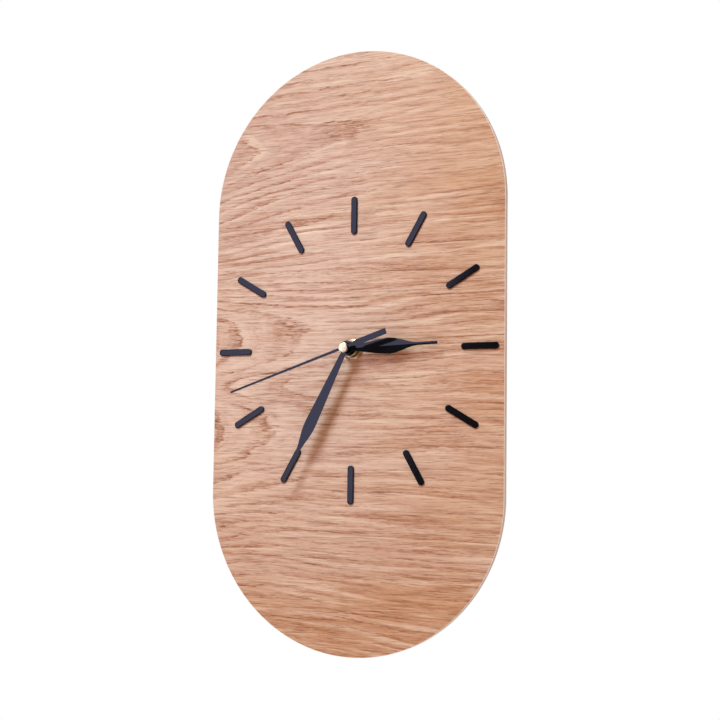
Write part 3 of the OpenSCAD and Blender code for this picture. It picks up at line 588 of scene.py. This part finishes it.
# Movement case, cover and setting knob. Moulded in plastic with a fine spark texture; the case
# carries the battery bay and the hanger, the cover is pushed into its back, and the knob turns
# in a well of the cover.
def dressed(node, body, material, edge=0.0, crease=32):
    """A CAD piece with its corners broken: its mesh is copied, merged, cleared of needless
    edges and given a small bevel on each sharp edge."""
    in_one_plane, sharp = radians(0.7), radians(40)
    mesh = bmesh.new()
    mesh.from_mesh(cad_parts[node].data)
    bmesh.ops.remove_doubles(mesh, verts=mesh.verts, dist=WELD)
    bmesh.ops.dissolve_limit(mesh, angle_limit=in_one_plane, verts=mesh.verts, edges=mesh.edges)
    data = bpy.data.meshes.new(node + "_dressed")
    mesh.to_mesh(data)
    mesh.free()
    piece = link(node + "_dressed", data, material)
    if edge:
        rounded = piece.modifiers.new("edge", "BEVEL")
        rounded.width, rounded.segments = edge, 1
        rounded.limit_method, rounded.angle_limit = "ANGLE", sharp
        data = plain_mesh(piece)
        piece.modifiers.clear()
        piece.data = data
    smoothed(data, crease)
    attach(piece, body)
    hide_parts(node)


def moulding(name, tone, grain_mm, depth_mm, rough):
    """Moulded plastic: a fine texture from the mould and slow marks of its flow."""
    plastic = Finish(name, Specular_IOR_Level=0.4)
    grain = plastic.cloud(plastic.stretched(grain_mm, grain_mm, grain_mm), 3.0, 0.6)
    flow = plastic.cloud(plastic.stretched(14, 14, 14), 3.0, 0.5, 4.0)
    light = tuple(c * 1.35 + 0.004 for c in tone)
    plastic.set("Base Color", plastic.mix(plastic.step(flow, 0.3, 0.7), tone, light))
    plastic.set("Roughness", rough + (grain - 0.5) * 0.25 + (flow - 0.5) * 0.1)
    plastic.bump(grain, depth_mm)
    return plastic.material


case_black = moulding("case_plastic", srgb(42, 42, 44), grain_mm=0.45, depth_mm=0.03,
                      rough=0.5)
dressed("movement_case", "clock_body", case_black, edge=0.25 * MM)
dressed("case_cover", "clock_body", case_black, edge=0.15 * MM)
knob_grey = moulding("knob_plastic", srgb(78, 78, 80), grain_mm=0.6, depth_mm=0.02,
                     rough=0.42)
dressed("setting_knob", "setting_body", knob_grey, edge=0.12 * MM)

# A low rim on the knob's face is a grip for the fingertip: radius, and height over the face
grip_mm = [(3.0, -0.1), (3.15, 0.2), (3.3, 0.28), (4.1, 0.28), (4.3, 0.2), (4.5, -0.1)]
knob_low, knob_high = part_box("setting_knob")
knob_middle = ((knob_low.x + knob_high.x) / 2, (knob_low.z + knob_high.z) / 2 - HUB_Z)
grip = ring_body("setting_knob_grip", [(circle(radius * MM), knob_high.y + height * MM)
                                       for radius, height in grip_mm], knob_grey, knob_middle)
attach(grip, "setting_body")


# Battery and its contacts. One round cell in a plain printed sleeve with bare steel ends,
# pressed between two sprung brass strips.
cell_low, cell_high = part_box("battery")
sleeve = Finish("battery_sleeve", Specular_IOR_Level=0.5)
cell_x = sleeve.add("ShaderNodeSeparateXYZ", None, sleeve.place)
along = (cell_x - cell_low.x) / (cell_high.x - cell_low.x)
# Shares of the cell's length: end of the dark print, and ends of the sleeve
print_end, sleeve_start, sleeve_end, crisp = 0.70, 0.014, 0.962, 0.002
scuff = sleeve.cloud(sleeve.stretched(6, 1.5, 1.5), 3.0, 0.6)
wrap = sleeve.mix(sleeve.step(along, print_end, print_end + crisp), srgb(70, 76, 86),
                  srgb(196, 202, 206))
wrap = sleeve.mix(sleeve.step(scuff, 0.62, 0.74) * 0.25, wrap, srgb(220, 220, 220))
bare = (sleeve.step(along, sleeve_end, sleeve_end + crisp)
        + (1 - sleeve.step(along, sleeve_start, sleeve_start + crisp)))
sleeve.set("Base Color", sleeve.mix(bare, wrap, srgb(196, 196, 198)))
sleeve.set("Metallic", bare)
sleeve.set("Roughness", 0.34 - bare * 0.06 + (scuff - 0.5) * 0.2)
sleeve.bump(scuff, 0.02)
dressed("battery", "clock_body", sleeve.material, crease=40)


def metal(name, tone, rough, marks_mm=(6, 6, 0.4), depth_mm=0.004):
    """Drawn, rolled or pressed metal: marks of this size along each axis, and light stains."""
    part = Finish(name, Metallic=1.0)
    drawn = part.cloud(part.stretched(*marks_mm), 3.0, 0.6)
    stain = part.cloud(part.stretched(5, 5, 5), 3.0, 0.5, 9.0)
    dark = tuple(c * 0.72 for c in tone)
    part.set("Base Color", part.mix(part.step(stain, 0.35, 0.75) * 0.6, tone, dark))
    part.set("Roughness", rough + (drawn - 0.5) * 0.18 + (stain - 0.5) * 0.08)
    part.bump(drawn, depth_mm)
    return part.material


strip_brass = metal("contact_brass", (0.78, 0.62, 0.34), rough=0.28, marks_mm=(3, 0.3, 3))
for contact in ("positive_contact", "negative_contact"):
    dressed(contact, "clock_body", strip_brass, edge=0.05 * MM)


# Motor and electronics, inside the case: a soft iron stator and core, the wound coil, a
# green lacquered board with the chip under resin, and the crystal's small can.
def painted(node, material):
    """A CAD piece that keeps its mesh and gets its finish."""
    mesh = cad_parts[node].data
    mesh.materials.clear()
    mesh.materials.append(material)


soft_iron = metal("soft_iron", (0.50, 0.51, 0.53), rough=0.36)
painted("stator_plate", soft_iron)
painted("coil_core", soft_iron)
bobbin_cream = moulding("bobbin_plastic", srgb(226, 218, 196), grain_mm=0.6, depth_mm=0.02,
                        rough=0.45)
painted("coil_bobbin", bobbin_cream)

wire_mm = 0.12
wire = Finish("coil_wire", Metallic=0.85)
in_wires = wire.stretched(wire_mm, wire_mm, wire_mm)
laps = wire.add("ShaderNodeSeparateXYZ", None, in_wires).beside("Z")
groove_and_shade = wire.maths("SINE", laps * (2 * pi))
lay = wire.cloud(wire.stretched(1.2, 1.2, 0.5), 2.0)
# painted shade and highlight: each lap is darker in the groove between wires, lighter on its
# crown
wire.set("Base Color", wire.mix(groove_and_shade * 0.35 + lay * 0.6, (0.62, 0.24, 0.08),
                                (0.86, 0.42, 0.20)))
wire.set("Roughness", 0.26 + lay * 0.14)
wire.bump(groove_and_shade * 0.5 + lay * 0.5, 0.05)
painted("coil_winding", wire.material)

lacquer = Finish("board_lacquer", Specular_IOR_Level=0.5)
weave = lacquer.cloud(lacquer.stretched(0.5, 0.5, 0.5), 2.0)
tracks = lacquer.add("ShaderNodeTexVoronoi",
                     {"feature": "DISTANCE_TO_EDGE", "distance": "CHEBYCHEV"},
                     Vector=lacquer.stretched(2.6, 2.6, 2.6), Scale=1.0)
copper_line = 1 - lacquer.step(tracks, 0.10, 0.16)
green = lacquer.mix(weave, srgb(24, 92, 58), srgb(34, 110, 68))
lacquer.set("Base Color", lacquer.mix(copper_line * 0.6, green, srgb(70, 148, 84)))
lacquer.set("Roughness", 0.22 + weave * 0.16)
lacquer.bump(copper_line + weave * 0.15, 0.04)
painted("circuit_board", lacquer.material)

resin = Finish("chip_resin", Specular_IOR_Level=0.5)
pool = resin.cloud(resin.stretched(1.5, 1.5, 1.5), 2.0)
resin.set("Base Color", resin.mix(pool, (0.006, 0.006, 0.007), (0.014, 0.013, 0.013)))
resin.set("Roughness", 0.12 + pool * 0.2)
resin.bump(pool, 0.05)
painted("timing_chip", resin.material)

can_steel = metal("drawn_steel", (0.66, 0.66, 0.68), rough=0.22, marks_mm=(0.4, 6, 6))
painted("quartz_crystal", can_steel)


# Gear train. Acetal wheels and the bridge that holds two of them, on the cover's bearing
# bosses, with the steel arbor of the second hand and the rotor's sintered magnet.
acetal = moulding("wheel_plastic", srgb(232, 231, 224), grain_mm=0.8, depth_mm=0.015,
                  rough=0.38)
for wheel in ("wheel_bridge", "rotor_pinion", "intermediate_wheel", "seconds_wheel",
              "third_wheel", "centre_wheel", "minute_wheel", "hour_wheel"):
    painted(wheel, acetal)
painted("seconds_arbor", can_steel)
sintered = metal("sintered_magnet", (0.24, 0.24, 0.26), rough=0.5, marks_mm=(0.5, 0.5, 0.5),
                 depth_mm=0.02)
painted("rotor_magnet", sintered)


# Bush, washers and nut. The movement's brass bush passes through the panel; a rubber washer
# lies behind it, and a plain brass washer and a thin hexagon nut clamp it in front.
rubber = moulding("rubber", srgb(34, 33, 33), grain_mm=0.9, depth_mm=0.03, rough=0.7)
dressed("rubber_washer", "clock_body", rubber, edge=0.1 * MM)


def turned_brass(name, rough, marks_mm, bright, dull, tarnish):
    """Brass from a lathe: fine rings about the hand axis, with light tarnish."""
    part = Finish(name, Metallic=1.0)
    from_hub = part.vector_maths("SUBTRACT", part.place, (0, 0, HUB_Z))
    radius = part.length(part.vector_maths("MULTIPLY", from_hub, (1, 0, 1)))
    lathe = part.maths("SINE", radius * (2 * pi / (marks_mm * MM)))
    patina = part.cloud(part.stretched(2.5, 2.5, 2.5), 3.0, 0.55)
    part.set("Base Color", part.mix(part.step(patina, 0.35, 0.8) * tarnish, bright, dull))
    part.set("Roughness", rough + (patina - 0.5) * 0.14)
    part.bump(lathe * 0.5 + patina * tarnish * 0.6, 0.003)
    return part.material


nut_brass = turned_brass("nut_brass", rough=0.34, marks_mm=0.16, bright=(1.0, 0.74, 0.40),
                         dull=(0.84, 0.56, 0.24), tarnish=0.5)
dressed("brass_washer", "clock_body", nut_brass, edge=0.06 * MM)

# The nut's corners are turned off to a cone in front, as on a nut parted from hexagon bar
nut_low, nut_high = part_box("dial_nut")
reaches = [(Vector((v.co.x, v.co.z - HUB_Z)).length, atan2(v.co.z - HUB_Z, v.co.x))
           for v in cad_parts["dial_nut"].data.vertices]
corner_r, corner_at = max(reaches)
bore_r = min(reaches)[0]
flat_r = corner_r * cos(pi / 6)
face_r = flat_r * 0.94
nut_points = 180
angles = [corner_at + 2 * pi * i / nut_points for i in range(nut_points)]
hexagon = [flat_r / cos((a - corner_at) % (pi / 3) - pi / 6) for a in angles]


def ring_of(radii):
    """The nut's points at these radii, one for each angle."""
    return [(r * cos(a), r * sin(a)) for r, a in zip(radii, angles)]


def turned(radius):
    return ring_of([radius] * nut_points)


cone = [nut_low.y + (r - face_r) * tan(pi / 6) for r in hexagon]
lip, burr, back_edge = 0.25 * MM, 0.02 * MM, 0.15 * MM
nut = ring_body("dial_nut_cut", [
    (turned(bore_r + lip), nut_low.y), (turned(face_r), nut_low.y), (ring_of(hexagon), cone),
    (ring_of([r - burr for r in hexagon]), nut_high.y - back_edge),
    (ring_of([r - back_edge for r in hexagon]), nut_high.y),
    (turned(bore_r + lip), nut_high.y), (turned(bore_r), nut_high.y - lip),
    (turned(bore_r), nut_low.y + lip)], nut_brass, crease=12)
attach(nut, "clock_body")
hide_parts("dial_nut")

thread = Tree("bush_thread_tree")
pitch = thread.size("Pitch", 0.75 * MM)
thread_len = thread.size("Length of thread", nut_high.y - bush_low.y)
root_r = thread.size("Root radius", 3.72 * MM)
helix = thread.add("GeometryNodeCurveSpiral", Resolution=40, Rotations=thread_len / pitch,
                   Start_Radius=root_r, End_Radius=root_r, Height=thread_len)
tooth = thread.add("GeometryNodeCurvePrimitiveCircle", {"mode": "RADIUS"}, Resolution=6,
                   Radius=pitch * 0.33)
worm = thread.add("GeometryNodeCurveToMesh", Curve=helix, Profile_Curve=tooth, Fill_Caps=True)
stood = thread.add("GeometryNodeTransform", Geometry=worm, Rotation=(pi / 2, 0, 0),
                   Translation=(0, nut_high.y, HUB_Z))
bush_thread = thread.grow("bush_thread", stood, nut_brass)
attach(bush_thread, "clock_body")
dressed("threaded_bush", "clock_body", nut_brass, edge=0.08 * MM)


# Hands. Stamped from thin sheet and painted black with a satin gloss, on black collets; the
# hour hand is folded along its middle, the minute hand and the second hand are flat. A turned
# brass cap closes the second hand's barrel.
paint = Finish("hand_paint", Specular_IOR_Level=0.45)
orange_peel = paint.cloud(paint.stretched(2.2, 2.2, 2.2), 2.0)
wear = paint.cloud(paint.stretched(10, 10, 10), 2.0, 0.5, 3.0)
paint.set("Base Color", paint.mix(wear, (0.0035, 0.0030, 0.0040), (0.0065, 0.0060, 0.0080)))
paint.set("Roughness", 0.08 + wear * 0.07)
paint.bump(orange_peel, 0.002)
for hand, body, edge_mm in (
        ("hour_hand", "hour_hand_body", 0.07), ("hour_hand_collet", "hour_hand_body", 0.10),
        ("minute_hand", "minute_hand_body", 0.07),
        ("minute_hand_collet", "minute_hand_body", 0.10),
        ("second_hand", "second_hand_body", 0.05),
        ("second_hand_barrel", "second_hand_body", 0.08)):
    dressed(hand, body, paint.material, edge=edge_mm * MM, crease=14)

cap_brass = turned_brass("cap_brass", rough=0.12, marks_mm=0.10, bright=(0.99, 0.82, 0.42),
                         dull=(0.90, 0.70, 0.34), tarnish=0.3)
dressed("second_hand_cap", "second_hand_body", cap_brass, crease=45)
